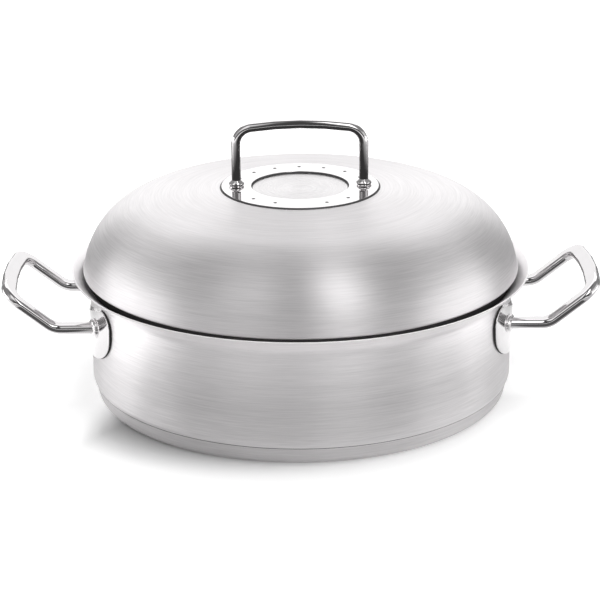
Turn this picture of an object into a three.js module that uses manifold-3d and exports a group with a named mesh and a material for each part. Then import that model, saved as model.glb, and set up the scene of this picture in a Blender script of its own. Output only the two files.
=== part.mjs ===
// A serving pan with a high dome lid: a drawn steel pan on a capsule base, two bent bar
// handles welded on through shield plates, and a domed lid with a bar handle of its own.
// Millimetres, +Z up. The origin is the middle of the flat underside, and the two side
// handles lie along X.
import * as THREE from 'three';
import { mergeVertices } from 'three/addons/utils/BufferGeometryUtils.js';
import Module from 'manifold-3d';

const { acos, asin, atan2, cos, sin, sqrt, tan, PI } = Math;
const degrees = (angle) => angle * PI / 180;

// Clearances
const WELD_GAP = 0.3; // between two pieces that are welded or pressed together
const SEAT_GAP = 0.3; // between the resting lid and the throat that carries it

// Pan body, one drawn sheet
const PAN_INNER_RADIUS = 140;
const PAN_WALL = 1;
const PAN_FLOOR = 1.2;
const PAN_CORNER = 8; // outside radius between floor and wall
const WALL_HEIGHT = 66.3; // from the floor's underside to the start of the rim
const THROAT_RADIUS = 6; // outside radius where the wall turns into the rim
const RIM_LEAN = degrees(52); // the rim's lean from the vertical
const RIM_REACH = 11.8; // from the wall's outside to the rim's edge

// Capsule base under the pan
const CAP_SHEET = 1.2;
const CAP_INSET = 0.7; // how far the cap's upper edge stays inside the wall's outside
const CAP_LEAN = degrees(12); // the cap's side leans in towards the floor
const CAP_EDGE = 5; // outside radius round the resting face
const CORE_THICKNESS = 6;
const CORE_CHAMFER = 2; // height of the chamfer that clears the cap's round edge

// Shield plates between the side handles and the wall
const PLATE_THICKNESS = 1.4;
const PLATE_HALF_WIDTH = 69.5; // across the front, measured straight
const PLATE_CORNER = 11; // the two upper corners
const PLATE_DROP = 31; // the rounded lower edge, below its widest line
const PLATE_FULLNESS = 2.6; // power of the lower edge's curve: 2 is an ellipse, more is fuller

// Side handles, a flat bar with rounded edges, bent into a loop
const BAR_WIDTH = 10.2;
const BAR_THICKNESS = 6.2;
const BAR_ROUNDING = 1.8;
const LEG_HALF_SPACING = 42;
const LEG_DROP = 17.2; // the legs' middle below the start of the rim
const LEG_LENGTH = 21.8; // from the wall's outside to the corner where the loop turns up
const LOOP_RISE = degrees(38.7); // the loop's slope
const LOOP_LENGTH = 39.8; // along the slope, to the middle of the bridge
const LEG_BEND = 14; // middle line radius where the legs turn up
const LOOP_CORNER = 12; // middle line radius of the loop's two corners
const BRIDGE_BOW = 250; // middle line radius of the bowed bridge

// Lid, one pressed sheet
const LID_SHEET = 0.9;
const LIP_OVERHANG = 5.4; // the lip's outermost line beyond the pan's inside
const LIP_BEND = 2.5; // outside radius round the lip
const SEAT_LEAN = degrees(29); // the seat's cone, from the vertical
const SKIRT_LEAN = degrees(8); // the locating skirt's lead-in
const SKIRT_LENGTH = 5;
const DOME_LEAN = degrees(14.5); // the dome's side leans in from the vertical
const SHOULDER_RADIUS = 53;
const CROWN_RADIUS = 620;
const CROWN_HEIGHT = 55; // from the lip's outermost line to the top of the crown's arc
const RING_OUTER_RADIUS = 52.3; // raised ring that carries the lid's handle
const RING_INNER_RADIUS = 32.5;
const RING_RISE = 0.9; // above the crown at its outer edge
const DISH_STEP = 1.5; // from the ring down to the edge of the dish
const DISH_SAG = 1.2; // from that edge down to the middle
const STEP_SLOPE = 0.5; // how far each pressed step leans across

// Lid handle, a round bar on two weld feet
const LID_BAR = 6;
const LID_LEG_HALF_SPACING = 42.2;
const LID_HANDLE_HEIGHT = 44.5; // from the ring to the top of the bar
const LID_HANDLE_CORNER = 11.5; // middle line radius
const LID_HANDLE_CROWN = 240; // middle line radius of the slightly arched top
const FOOT_RADIUS = 5.4;
const FOOT_HEIGHT = 2.2;
const FOOT_EDGE = 1.2; // height of the foot's upright edge

// Facets
const ROUND_SIDES = 60; // round the pan, the base, the lid and the plates
const FOOT_SIDES = 20;
const BAR_EDGE_STEPS = 2; // faces along each rounded edge of a side handle
const LID_BAR_STEPS = 4; // faces along each quarter of the lid's round bar
const CORNER_STEPS = 5; // along the pan's corner and the cap's edge
const TURN_STEPS = 3; // along each tight turn of a sheet: throat, rim edge, seat and lip
const SHOULDER_STEPS = 8;
const CROWN_STEPS = 3;
const DISH_STEPS = 3;
const OUTLINE_STEPS = 8; // along each arc of a plate's outline
const LEG_STEPS = 4; // along each bend from a leg into its loop
const BAR_STEPS = 6; // along the other bends of a bar
const SAME_POINT = 1e-4; // vertices closer than this are one

// Heights that follow from the stack of the base
const coreBottom = CAP_SHEET + WELD_GAP;
const coreTop = coreBottom + CORE_THICKNESS;
const panBottom = coreTop + WELD_GAP;
const floorTop = panBottom + PAN_FLOOR;
const panOuterRadius = PAN_INNER_RADIUS + PAN_WALL;

// The throat: the wall and the resting lid both bend round this centre
const throat = point(panOuterRadius + THROAT_RADIUS, panBottom + WALL_HEIGHT);
const throatInside = THROAT_RADIUS + PAN_WALL;

const wasm = await Module();
wasm.setup();

// A point of a profile: radius from the axis, then height
function point(radius, height) {
  return new THREE.Vector2(radius, height);
}

// Points along an arc of a profile, both ends included
function arc(centre, radius, from, to, steps) {
  return Array.from({ length: steps + 1 }, (_, i) => {
    const angle = from + (to - from) * i / steps;
    return point(centre.x + radius * cos(angle), centre.y + radius * sin(angle));
  });
}

// Turns a profile, drawn outwards along its underside and back over its top, about +Z
function revolve(profile, sides = ROUND_SIDES) {
  return new THREE.LatheGeometry(profile, sides).rotateX(PI / 2);
}

function toSolid(geometry) {
  geometry.deleteAttribute('normal');
  geometry.deleteAttribute('uv');
  const merged = mergeVertices(geometry, SAME_POINT);
  return new wasm.Manifold(new wasm.Mesh({
    numProp: 3,
    vertProperties: new Float32Array(merged.attributes.position.array),
    triVerts: new Uint32Array(merged.index.array),
  }));
}

function toGeometry(manifold) {
  const mesh = manifold.getMesh();
  const geometry = new THREE.BufferGeometry();
  geometry.setAttribute('position', new THREE.BufferAttribute(mesh.vertProperties, 3));
  geometry.setIndex(new THREE.BufferAttribute(mesh.triVerts, 1));
  geometry.computeVertexNormals();
  return geometry;
}

// The middle line of a bent bar, as the stations where its section is set square
class BarLine extends THREE.Curve {
  constructor(start, heading) {
    super();
    this.stations = [{ place: start, heading: heading.clone().normalize() }];
  }

  get end() {
    return this.stations[this.stations.length - 1];
  }

  run(length) {
    const { place, heading } = this.end;
    this.stations.push({ place: place.clone().addScaledVector(heading, length), heading });
    return this;
  }

  // Turns by an angle towards a side that is square to the heading
  bend(towards, radius, angle, steps) {
    const { place, heading } = this.end;
    for (let i = 1; i <= steps; i++) {
      const turned = angle * i / steps;
      this.stations.push({
        place: place.clone()
          .addScaledVector(heading, radius * sin(turned))
          .addScaledVector(towards, radius * (1 - cos(turned))),
        heading: heading.clone().multiplyScalar(cos(turned)).addScaledVector(towards, sin(turned)),
      });
    }
    // The same side, turned along, so that the next bend can go on in this plane
    this.side = towards.clone().multiplyScalar(cos(angle)).addScaledVector(heading, -sin(angle));
    return this;
  }

  station(t) {
    return this.stations[Math.round(t * (this.stations.length - 1))];
  }

  getPoint(t) {
    return this.station(t).place.clone();
  }

  getTangent(t) {
    return this.station(t).heading.clone();
  }

  getPointAt(t) {
    return this.getPoint(t);
  }

  getTangentAt(t) {
    return this.getTangent(t);
  }
}

// Sweeps a bar with rounded edges; it is round where the rounding is half of its width
function sweepBar(line, width, thickness, rounding, edgeSteps) {
  const x = thickness / 2 - rounding;
  const y = width / 2 - rounding;
  const section = new THREE.Shape()
    .absarc(x, y, rounding, 0, PI / 2)
    .absarc(-x, y, rounding, PI / 2, PI)
    .absarc(-x, -y, rounding, PI, 3 * PI / 2)
    .absarc(x, -y, rounding, 3 * PI / 2, 2 * PI);
  return new THREE.ExtrudeGeometry(section, {
    extrudePath: line,
    steps: line.stations.length - 1,
    curveSegments: edgeSteps / 2, // an arc gets two faces for each of these
  });
}

// The drawn pan: floor, corner, upright wall and a flared pouring rim with a round edge
function panBodyGeometry() {
  const outerCorner = point(panOuterRadius - PAN_CORNER, panBottom + PAN_CORNER);
  const innerCornerRadius = PAN_CORNER - PAN_WALL;
  const innerCorner = point(PAN_INNER_RADIUS - innerCornerRadius, floorTop + innerCornerRadius);
  const rimAngle = PI - RIM_LEAN;
  const edgeRadius = PAN_WALL / 2;
  const middleRadius = THROAT_RADIUS + edgeRadius;
  const bendEnd = throat.x + middleRadius * cos(rimAngle);
  const rimLength = (panOuterRadius + RIM_REACH - edgeRadius - bendEnd) / sin(RIM_LEAN);
  const rimEdge = point(
    bendEnd + rimLength * sin(RIM_LEAN),
    throat.y + middleRadius * sin(rimAngle) + rimLength * cos(RIM_LEAN),
  );
  return revolve([
    point(0, panBottom),
    ...arc(outerCorner, PAN_CORNER, -PI / 2, 0, CORNER_STEPS),
    ...arc(throat, THROAT_RADIUS, PI, rimAngle, TURN_STEPS),
    ...arc(rimEdge, edgeRadius, -RIM_LEAN, PI - RIM_LEAN, TURN_STEPS),
    ...arc(throat, throatInside, rimAngle, PI, TURN_STEPS),
    ...arc(innerCorner, innerCornerRadius, 0, -PI / 2, CORNER_STEPS),
    point(0, floorTop),
  ]);
}

// The cap's side stops under the pan's corner, at its own radius
function capShape() {
  const corner = point(panOuterRadius - PAN_CORNER, panBottom + PAN_CORNER);
  const clearOfCorner = PAN_CORNER + WELD_GAP;
  const top = panOuterRadius - CAP_INSET;
  const underCorner = (radius) => corner.y - sqrt(clearOfCorner ** 2 - (radius - corner.x) ** 2);
  const outerTop = point(top, underCorner(top));
  const innerTop = point(top - CAP_SHEET, underCorner(top - CAP_SHEET));
  // The round edge touches both the resting plane and the leaning side
  const edgeX = top - (outerTop.y - CAP_EDGE) * tan(CAP_LEAN) - CAP_EDGE / cos(CAP_LEAN);
  return { outerTop, innerTop, edge: point(edgeX, CAP_EDGE) };
}

function baseCapGeometry() {
  const { outerTop, innerTop, edge } = capShape();
  return revolve([
    point(0, 0),
    ...arc(edge, CAP_EDGE, -PI / 2, -CAP_LEAN, CORNER_STEPS),
    outerTop,
    innerTop,
    ...arc(edge, CAP_EDGE - CAP_SHEET, -CAP_LEAN, -PI / 2, CORNER_STEPS),
    point(0, CAP_SHEET),
  ]);
}

// The heat-spreading disc fills the cap, chamfered where the cap's edge is round
function baseCoreGeometry() {
  const { edge } = capShape();
  const room = CAP_EDGE - CAP_SHEET - WELD_GAP;
  const reach = (height) => edge.x + sqrt(Math.max(room ** 2 - Math.max(edge.y - height, 0) ** 2, 0));
  const chamferTop = coreBottom + CORE_CHAMFER;
  return revolve([
    point(0, coreBottom),
    point(reach(coreBottom), coreBottom),
    point(reach(chamferTop), chamferTop),
    point(reach(chamferTop), coreTop),
    point(0, coreTop),
  ]);
}

// A curved shield: a ring round the wall, trimmed by the plate's outline seen from the side
const plateInside = panOuterRadius + WELD_GAP;
const plateOutside = plateInside + PLATE_THICKNESS;

function handlePlateGeometry() {
  const widest = throat.y - PLATE_CORNER;
  const corner = PLATE_HALF_WIDTH - PLATE_CORNER;
  const full = (share) => Math.sign(share) * Math.abs(share) ** (2 / PLATE_FULLNESS);
  const lowerEdge = Array.from({ length: 2 * OUTLINE_STEPS + 1 }, (_, i) => {
    const angle = PI + PI * i / (2 * OUTLINE_STEPS);
    return point(PLATE_HALF_WIDTH * full(cos(angle)), widest + PLATE_DROP * full(sin(angle)));
  });
  const outline = new THREE.Shape(lowerEdge)
    .absarc(corner, widest, PLATE_CORNER, 0, PI / 2)
    .absarc(-corner, widest, PLATE_CORNER, PI / 2, PI);
  const trim = new THREE.ExtrudeGeometry(outline, {
    depth: 2 * plateOutside,
    bevelEnabled: false,
    curveSegments: OUTLINE_STEPS,
  });
  trim.applyMatrix4(new THREE.Matrix4().makeBasis(
    new THREE.Vector3(0, 1, 0),
    new THREE.Vector3(0, 0, 1),
    new THREE.Vector3(1, 0, 0),
  ));
  const ring = revolve([
    point(plateInside, 0),
    point(plateOutside, 0),
    point(plateOutside, 2 * throat.y),
    point(plateInside, 2 * throat.y),
    point(plateInside, 0),
  ]);
  return toGeometry(toSolid(ring).intersect(toSolid(trim)));
}

// A side handle: two legs square to the front, a rising loop and a bowed bridge
function sideHandleGeometry() {
  const up = new THREE.Vector3(0, 0, 1);
  const out = new THREE.Vector3(1, 0, 0);
  const across = new THREE.Vector3(0, 1, 0);
  const legBottom = throat.y - LEG_DROP;
  const legEnd = plateOutside + WELD_GAP;
  const buried = sqrt(legEnd ** 2 - (LEG_HALF_SPACING + BAR_WIDTH) ** 2) - BAR_WIDTH;
  const bendSetback = LEG_BEND * tan(LOOP_RISE / 2);
  const legRun = panOuterRadius + LEG_LENGTH - bendSetback - buried;
  // The corners touch the bowed bridge from inside
  const cornerSide = LEG_HALF_SPACING - LOOP_CORNER;
  const bowAngle = asin(cornerSide / (BRIDGE_BOW - LOOP_CORNER));
  const cornerPlace = LOOP_LENGTH - BRIDGE_BOW + (BRIDGE_BOW - LOOP_CORNER) * cos(bowAngle);
  const slopeRun = cornerPlace - bendSetback;

  const line = new BarLine(new THREE.Vector3(buried, -LEG_HALF_SPACING, legBottom), out);
  line.run(legRun).bend(up, LEG_BEND, LOOP_RISE, LEG_STEPS).run(slopeRun);
  line.bend(across, LOOP_CORNER, PI / 2 - bowAngle, BAR_STEPS);
  line.bend(line.side, BRIDGE_BOW, 2 * bowAngle, BAR_STEPS);
  line.bend(line.side, LOOP_CORNER, PI / 2 - bowAngle, BAR_STEPS).run(slopeRun);
  const downhill = new THREE.Vector3(-sin(LOOP_RISE), 0, cos(LOOP_RISE));
  line.bend(downhill, LEG_BEND, LOOP_RISE, LEG_STEPS).run(legRun);

  const bar = toSolid(sweepBar(line, BAR_WIDTH, BAR_THICKNESS, BAR_ROUNDING, BAR_EDGE_STEPS));
  const wall = new THREE.CylinderGeometry(legEnd, legEnd, 2 * throat.y, ROUND_SIDES);
  wall.rotateX(PI / 2).translate(0, 0, throat.y);
  return toGeometry(bar.subtract(toSolid(wall)));
}

// The lid's sheet, bent round the throat's centre to sit on it and round its own lip
const seatOutside = throatInside + SEAT_GAP;
const lipCentre = (() => {
  const radius = PAN_INNER_RADIUS + LIP_OVERHANG - LIP_BEND;
  // The seat's cone touches the lip's round on its lower side and the throat's round above
  const seatAngle = PI - SEAT_LEAN;
  const start = point(throat.x + seatOutside * cos(seatAngle), throat.y + seatOutside * sin(seatAngle));
  const reach = (radius + LIP_BEND * cos(SEAT_LEAN) - start.x) / sin(SEAT_LEAN);
  return point(radius, start.y + reach * cos(SEAT_LEAN) + LIP_BEND * sin(SEAT_LEAN));
})();

const crownCentre = point(0, lipCentre.y + CROWN_HEIGHT - CROWN_RADIUS);
const crownAt = (radius) => crownCentre.y + sqrt(CROWN_RADIUS ** 2 - radius ** 2);
const ringTop = crownAt(RING_OUTER_RADIUS) + RING_RISE;

// The shoulder lies inside the leaning side line and inside the crown, touching both
const shoulderCentre = (() => {
  const inward = LIP_BEND - SHOULDER_RADIUS;
  const base = point(lipCentre.x + inward * cos(DOME_LEAN), lipCentre.y + inward * sin(DOME_LEAN));
  const offset = point(base.x, base.y - crownCentre.y);
  const along = point(-sin(DOME_LEAN), cos(DOME_LEAN));
  const projected = offset.dot(along);
  const climb = sqrt((CROWN_RADIUS - SHOULDER_RADIUS) ** 2 - offset.lengthSq() + projected ** 2) - projected;
  return point(base.x + climb * along.x, base.y + climb * along.y);
})();

// Points of the sheet's dome, from its skirt up to the crown; inset is 0 on the outside
function domeSide(inset) {
  const shoulderTop = atan2(shoulderCentre.y - crownCentre.y, shoulderCentre.x);
  const crownStart = acos((RING_OUTER_RADIUS + STEP_SLOPE) / CROWN_RADIUS);
  const seat = arc(throat, seatOutside + inset, PI - SKIRT_LEAN, PI - SEAT_LEAN, TURN_STEPS);
  const skirtEnd = point(
    seat[0].x - SKIRT_LENGTH * sin(SKIRT_LEAN),
    seat[0].y - SKIRT_LENGTH * cos(SKIRT_LEAN),
  );
  return [
    skirtEnd,
    ...seat,
    ...arc(lipCentre, LIP_BEND - inset, -SEAT_LEAN, DOME_LEAN, TURN_STEPS),
    ...arc(shoulderCentre, SHOULDER_RADIUS - inset, DOME_LEAN, shoulderTop, SHOULDER_STEPS),
    ...arc(crownCentre, CROWN_RADIUS - inset, shoulderTop, crownStart, CROWN_STEPS).slice(1),
  ];
}

// Points of the pressed ring and dish, from the ring's outer edge in to the axis
function ringAndDish(inset) {
  const dishEdge = ringTop - DISH_STEP;
  const outer = RING_OUTER_RADIUS - inset;
  const inner = RING_INNER_RADIUS + inset;
  const dishRadius = inner - STEP_SLOPE;
  const dish = Array.from({ length: DISH_STEPS + 1 }, (_, i) => {
    const share = 1 - i / DISH_STEPS;
    return point(share * dishRadius, dishEdge - DISH_SAG * (1 - share ** 2) - inset);
  });
  return [
    point(outer, ringTop - inset),
    point(inner, ringTop - inset),
    ...dish,
  ];
}

function lidDomeGeometry() {
  const inside = [...domeSide(LID_SHEET), ...ringAndDish(LID_SHEET)];
  const outside = [...domeSide(0), ...ringAndDish(0)];
  return revolve([...inside.reverse(), ...outside]);
}

// The lid's handle: a round bar with two upright legs and a slightly arched top
const footTop = ringTop + WELD_GAP + FOOT_HEIGHT;

function lidHandleGeometry() {
  const up = new THREE.Vector3(0, 0, 1);
  const right = new THREE.Vector3(1, 0, 0);
  const legBottom = footTop + WELD_GAP;
  const cornerSide = LID_LEG_HALF_SPACING - LID_HANDLE_CORNER;
  const archAngle = asin(cornerSide / (LID_HANDLE_CROWN - LID_HANDLE_CORNER));
  const barTop = ringTop + LID_HANDLE_HEIGHT - LID_BAR / 2;
  const cornerHeight = barTop - LID_HANDLE_CROWN + (LID_HANDLE_CROWN - LID_HANDLE_CORNER) * cos(archAngle);
  const legRun = cornerHeight - legBottom;

  const line = new BarLine(new THREE.Vector3(-LID_LEG_HALF_SPACING, 0, legBottom), up);
  line.run(legRun).bend(right, LID_HANDLE_CORNER, PI / 2 - archAngle, BAR_STEPS);
  line.bend(line.side, LID_HANDLE_CROWN, 2 * archAngle, BAR_STEPS);
  line.bend(line.side, LID_HANDLE_CORNER, PI / 2 - archAngle, BAR_STEPS).run(legRun);
  return sweepBar(line, LID_BAR, LID_BAR, LID_BAR / 2, LID_BAR_STEPS);
}

// A weld foot: a small round boss that tapers up to the bar
function lidFootGeometry() {
  return revolve([
    point(0, 0),
    point(FOOT_RADIUS, 0),
    point(FOOT_RADIUS, FOOT_EDGE),
    point(LID_BAR / 2, FOOT_HEIGHT),
    point(0, FOOT_HEIGHT),
  ], FOOT_SIDES);
}

const brushedSteel = { color: 0xc8c9ca, roughness: 0.36, metalness: 1 };
const polishedSteel = { color: 0xd8d9da, roughness: 0.08, metalness: 1 };
const aluminium = { color: 0xb9bbbd, roughness: 0.5, metalness: 1 };

function piece(name, geometry, finish) {
  const mesh = new THREE.Mesh(geometry, new THREE.MeshStandardMaterial(finish));
  mesh.name = name;
  return mesh;
}

const pan = new THREE.Group();
pan.add(
  piece('pan_body', panBodyGeometry(), brushedSteel),
  piece('base_core', baseCoreGeometry(), aluminium),
  piece('base_cap', baseCapGeometry(), brushedSteel),
);

const lid = new THREE.Group();
lid.add(
  piece('lid_dome', lidDomeGeometry(), brushedSteel),
  piece('lid_handle', lidHandleGeometry(), polishedSteel),
);

// The left pieces are the right ones, turned half way round
for (const [side, turn, sign] of [['right', 0, 1], ['left', PI, -1]]) {
  const handle = new THREE.Group();
  handle.rotation.z = turn;
  handle.add(
    piece(`${side}_handle_plate`, handlePlateGeometry(), polishedSteel),
    piece(`${side}_handle`, sideHandleGeometry(), polishedSteel),
  );
  pan.add(handle);

  const foot = piece(`${side}_lid_foot`, lidFootGeometry(), polishedSteel);
  foot.position.set(sign * LID_LEG_HALF_SPACING, 0, ringTop + WELD_GAP);
  lid.add(foot);
}

const servingPan = new THREE.Group();
servingPan.add(pan, lid);

export default servingPan;
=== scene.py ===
# %% [markdown]
# # A serving pan with a high dome lid
#
# The object is welded steel cookware: a drawn pan on a capsule base, two bent bar handles on
# shield plates, and a loose dome lid with a bar handle of its own. The CAD model already has
# every piece at its real size and place, but its round forms are cut into flat facets. This
# lesson builds the finished surfaces round that frame: smooth sheet with rounded edges, weld
# beads, and the brushed, turned and polished finishes of the steel.

# %% Load the frame
import math

import bpy
import numpy as np
from mathutils import Matrix, Vector


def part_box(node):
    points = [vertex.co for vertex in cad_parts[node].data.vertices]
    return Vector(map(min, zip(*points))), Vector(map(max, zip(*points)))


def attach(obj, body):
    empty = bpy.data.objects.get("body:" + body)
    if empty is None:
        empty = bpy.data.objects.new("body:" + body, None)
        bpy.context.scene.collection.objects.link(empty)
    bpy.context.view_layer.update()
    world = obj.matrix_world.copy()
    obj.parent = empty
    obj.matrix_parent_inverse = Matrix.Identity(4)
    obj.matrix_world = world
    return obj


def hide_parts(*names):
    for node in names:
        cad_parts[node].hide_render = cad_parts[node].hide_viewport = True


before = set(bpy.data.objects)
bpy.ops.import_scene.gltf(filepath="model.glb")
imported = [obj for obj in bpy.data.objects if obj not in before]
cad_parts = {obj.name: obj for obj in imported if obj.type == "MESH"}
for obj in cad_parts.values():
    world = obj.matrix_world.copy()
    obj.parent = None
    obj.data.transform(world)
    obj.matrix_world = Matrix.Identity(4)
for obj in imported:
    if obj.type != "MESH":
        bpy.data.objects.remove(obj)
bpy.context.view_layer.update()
MM = 0.001

# %% [markdown]
# ## Shader maths as plain expressions
#
# A finish is a small tree of nodes. Placing nodes one by one hides the idea behind them, so a
# wire class wraps a socket: arithmetic on wires adds Math nodes, and one method adds any other
# node, with its settings first and then the values or links of its sockets. Two more methods name
# what every finish here needs: the three axes of a vector, and a soft step between two values.


# %% Wires
class Wire:
    """A node tree, or one socket in it, that takes part in shader expressions."""

    def __init__(self, tree, socket=None):
        self.tree = tree
        self.socket = socket

    def node(self, kind, settings=None, sockets=None, out=0):
        """Adds a node, and returns one of its outputs as a wire."""
        added = self.tree.nodes.new(kind)
        for name, value in (settings or {}).items():
            setattr(added, name, value)
        for name, value in (sockets or {}).items():
            if isinstance(value, Wire):
                self.tree.links.new(value.socket, added.inputs[name])
            else:
                added.inputs[name].default_value = value
        return Wire(self.tree, added.outputs[out])

    def math(self, operation, *values):
        """A Math node on these values."""
        return self.node("ShaderNodeMath", {"operation": operation}, dict(enumerate(values)))

    def axes(self):
        """The X, Y and Z of a vector."""
        split = self.node("ShaderNodeSeparateXYZ", sockets={0: self}).socket.node
        return [Wire(self.tree, output) for output in split.outputs]

    def ease(self, low, high, start=0.0, end=1.0):
        """A soft step from start to end, while this value goes from low to high."""
        return self.node(
            "ShaderNodeMapRange",
            {"interpolation_type": "SMOOTHSTEP"},
            {"Value": self, "From Min": low, "From Max": high, "To Min": start, "To Max": end},
        )

    def __add__(self, other):
        return self.math("ADD", self, other)

    def __sub__(self, other):
        return self.math("SUBTRACT", self, other)

    def __mul__(self, other):
        return self.math("MULTIPLY", self, other)

    def __rsub__(self, other):
        return self.math("SUBTRACT", other, self)

    __radd__ = __add__
    __rmul__ = __mul__


def new_finish(name, **constants):
    """A metal material: returns it, its tree as a wire, and its shader with the constants set."""
    material = bpy.data.materials.new(name)
    material.use_nodes = True
    shader = material.node_tree.nodes["Principled BSDF"]
    shader.inputs["Metallic"].default_value = 1
    for socket, value in constants.items():
        shader.inputs[socket.replace("_", " ")].default_value = value
    return material, Wire(material.node_tree), shader


def feed(shader, **wires):
    """Links wires to the shader's sockets."""
    for socket, wire in wires.items():
        wire.tree.links.new(wire.socket, shader.inputs[socket.replace("_", " ")])


# %% [markdown]
# ## Steel finishes
#
# The pan and the dome are brushed: an abrasive belt ran round them and left fine scratches that
# follow the circle. Scratches spread a reflection across themselves, so lights become upright
# streaks. The shader's anisotropy gives that spread, and noise that is long round the axis and
# short along the profile draws the scratches. The profile's length comes from the UV map that
# each turned piece brings along, because height alone would stop at the flat top of the lid.

# %% Brushed and turned steel
STEEL_TINT = (1.012, 0.99, 1.0)
QUARTER_TURN = 0.25
# Width, length and share of the fine, coarse and wide scratches.
SCRATCHES = ((0.5 * MM, 20 * MM, 0.5), (1.1 * MM, 45 * MM, 0.3), (5 * MM, 160 * MM, 0.2))
SCRATCH_TONE = 0.3
SCRATCH_GLOSS = 0.12
SCRATCH_BUMP = 0.35


def tones(wires, value, tone, change):
    """A steel grey that the value takes from a darker to a lighter tone."""
    shades = (tone * (1 - change), tone * (1 + change))
    ends = [(*(shade * share for share in STEEL_TINT), 1) for shade in shades]
    return wires.node(
        "ShaderNodeMix",
        {"data_type": "RGBA"},
        {"Factor": value, 6: ends[0], 7: ends[1]},
        out=2,
    )


def scratches(wires, width, length):
    """Lines of a given width that run round the axis, from 0 to 1."""
    x, y, _ = wires.node("ShaderNodeTexCoord", out="Object").axes()
    _, along, _ = wires.node("ShaderNodeUVMap", {"uv_map": "turned"}).axes()
    stretched = wires.node(
        "ShaderNodeCombineXYZ",
        sockets={0: x * (1 / length), 1: y * (1 / length), 2: along * (1 / width)},
    )
    return wires.node(
        "ShaderNodeTexNoise",
        sockets={"Vector": stretched, "Scale": 1.0, "Detail": 2.0, "Roughness": 0.6},
    )


def turned_steel(name, tone, roughness, spread, depth, heights=None, shades=None):
    """Steel with lines round the axis: spread is the anisotropy, depth that of the scratches.

    Between two heights the tone goes from one shade to another, which paints light and shade.
    """
    material, wires, shader = new_finish(
        name, Anisotropic=spread, Anisotropic_Rotation=QUARTER_TURN
    )
    fine, coarse, wide = (scratches(wires, *size) * share for *size, share in SCRATCHES)
    lines = fine + coarse + wide
    height = wires.node(
        "ShaderNodeBump", sockets={"Strength": SCRATCH_BUMP, "Distance": depth, "Height": lines}
    )
    shade = lines
    # Painted light and shade: the tone rises or falls with height.
    if heights:
        _, _, z = wires.node("ShaderNodeTexCoord", out="Object").axes()
        shade = lines + z.ease(*heights, *shades)
    feed(
        shader,
        Base_Color=tones(wires, shade, tone, SCRATCH_TONE),
        Roughness=roughness + SCRATCH_GLOSS * (lines - 0.5),
        Normal=height,
    )
    return material


# Painted light and shade: the wall is painted darker low down and lighter towards the rim, and the
# dome's side lighter near the lip.
wall_heights, wall_painted_shading = (30 * MM, 80 * MM), (-0.14, 0.4)
side_heights, side_painted_light = (86 * MM, 112 * MM), (0.1, 0.0)
# Each finish: tone, roughness, spread, and depth of the scratches.
brushed = turned_steel("brushed wall", 0.75, 0.49, 0.76, 0.02 * MM, wall_heights, wall_painted_shading)
domed = turned_steel("brushed dome", 0.75, 0.49, 0.76, 0.02 * MM, side_heights, side_painted_light)
turned = turned_steel("turned base steel", 0.6, 0.5, 0.75, 0.03 * MM)
satin = turned_steel("satin inside steel", 0.64, 0.4, 0.55, 0.02 * MM)
spun = turned_steel("spun dish steel", 0.62, 0.27, 0.85, 0.015 * MM)
turned_finishes = (brushed, domed, turned, satin, spun)
print("turned finishes:", [material.name for material in turned_finishes])

# %% [markdown]
# The handles, the plates and the ring on the lid are polished to a mirror. A perfect mirror looks
# drawn by a computer, so a wide faint cloud makes parts of it a touch duller, as handling does.
# The welds are ground and polished over too, but keep small ripples. The flare and the edge of
# the rim get a pale tone and less metal, a painted highlight that makes them read bright. Dots on
# the ring are etched: the acid leaves a dark, matt patch. The braze line in the base was never
# polished and stays dark. The sheared sides of the plates are rough, and their near-black tone is
# painted shade for the gap along the wall. The grooves of the lid and the steps beside the ring get
# a dark tone that paints their shade.

# %% Polished, welded, etched and dull finishes
CLOUD_TONE = 0.03
CLOUD_BUMP = 0.4


def clouds(wires, size):
    """A soft cloud from 0 to 1 whose patches are about as large as the size."""
    where = wires.node("ShaderNodeTexCoord", out="Object")
    return wires.node(
        "ShaderNodeTexNoise",
        sockets={"Vector": where, "Scale": 1 / size, "Detail": 2.0, "Roughness": 0.5},
    )


def clouded_steel(name, tone, roughness, change, size, depth=0.0, **constants):
    """Steel whose gloss drifts over the surface, with waves of a given depth if it has any."""
    material, wires, shader = new_finish(name, **constants)
    cloud = clouds(wires, size)
    gloss = roughness + change * cloud
    feed(shader, Base_Color=tones(wires, cloud, tone, CLOUD_TONE), Roughness=gloss)
    if depth:
        waves = wires.node(
            "ShaderNodeBump", sockets={"Strength": CLOUD_BUMP, "Distance": depth, "Height": cloud}
        )
        feed(shader, Normal=waves)
    return material


# Each finish: tone, roughness, change of gloss, size of the clouds, and depth of the waves.
polished = clouded_steel("polished steel", 0.8, 0.03, 0.08, 12 * MM)
bar_steel = clouded_steel("polished bar", 0.62, 0.02, 0.06, 12 * MM)
plate_steel = clouded_steel("polished plate", 0.66, 0.06, 0.1, 2.5 * MM, 0.12 * MM)
weld = clouded_steel("polished weld", 0.74, 0.08, 0.14, 1.4 * MM, 0.25 * MM)
bead = clouded_steel("ground weld", 0.8, 0.2, 0.14, 1.4 * MM, 0.1 * MM)
# Painted highlight: the flare and the rim's edge get a pale tone with little metal, so they read
# bright.
flare_painted_light = clouded_steel("satin flare painted light", 0.85, 0.35, 0.1, 6 * MM, Metallic=0.6)
rim_edge_painted_highlight = clouded_steel("rim edge painted highlight", 0.95, 0.3, 0.1, 2 * MM, Metallic=0.15)
dull = {"Metallic": 0, "Specular IOR Level": 0.1}
etched = clouded_steel("etched steel", 0.03, 0.5, 0.2, 0.6 * MM, **dull)
braze = clouded_steel("dull braze", 0.05, 0.5, 0.2, 2 * MM, 0.1 * MM, **dull)
# Painted shade: the lid's groove and the steps beside the ring get a dark tone.
groove_painted_shade = clouded_steel("groove painted shade", 0.12, 0.45, 0.2, 2 * MM, 0.05 * MM)
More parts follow.
